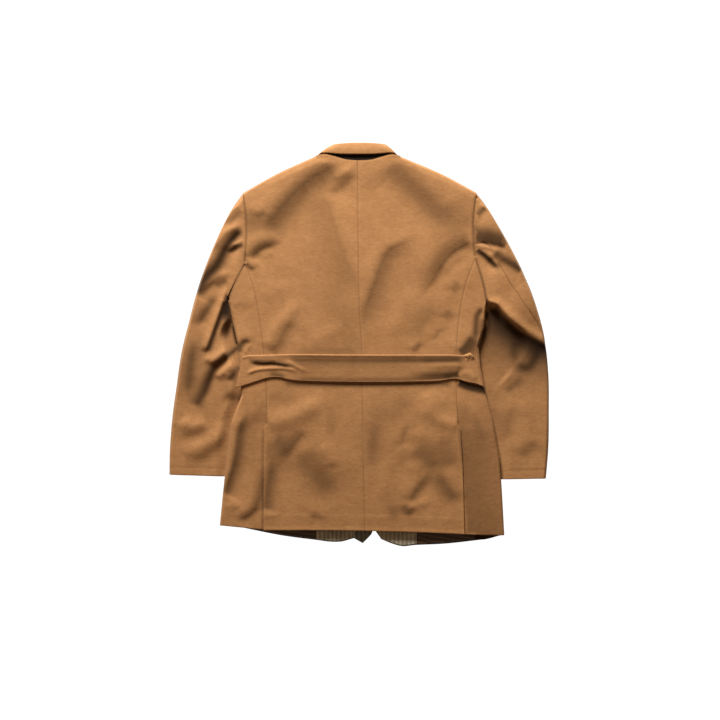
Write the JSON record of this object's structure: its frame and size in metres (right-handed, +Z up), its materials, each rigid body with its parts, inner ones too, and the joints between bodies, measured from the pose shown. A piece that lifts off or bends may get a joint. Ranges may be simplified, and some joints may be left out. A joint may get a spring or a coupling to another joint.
{
  "type": "country jacket laid out face down",
  "caption": "Tailored wool country jacket lying face down, back up: belted back, side vents, set-in sleeves beside the body, folded collar, and tweed facing at the hem.",
  "frame": {"origin": "middle of the jacket's outline, on the surface that it lies on", "axes": "+Y towards the collar, +Z up out of the back, +X to the right as seen from above"},
  "size_m": [0.7808, 0.8296, 0.022],
  "materials": {
    "camel_wool": "soft napped wool cloth, matt",
    "collar_felt": "dense dark felt, matt",
    "tweed_facing": "checked tweed, matt",
    "lining_satin": "striped satin, soft gloss",
    "button_horn": "dull polished horn"
  },
  "bodies": {
    "root": {"back_left": "camel_wool", "back_right": "camel_wool", "side_left": "camel_wool", "side_right": "camel_wool", "front_left": "camel_wool", "front_right": "camel_wool", "facing_left": "tweed_facing", "facing_right": "tweed_facing", "lining_left": "lining_satin", "lining_right": "lining_satin", "front_tab": "tweed_facing", "top_sleeve_left": "camel_wool", "under_sleeve_left": "camel_wool", "top_sleeve_right": "camel_wool", "under_sleeve_right": "camel_wool", "collar_fall": "camel_wool", "collar_stand": "collar_felt", "back_belt": "camel_wool", "button_1": "button_horn", "button_2": "button_horn", "button_3": "button_horn"}
  },
  "joints": []
}
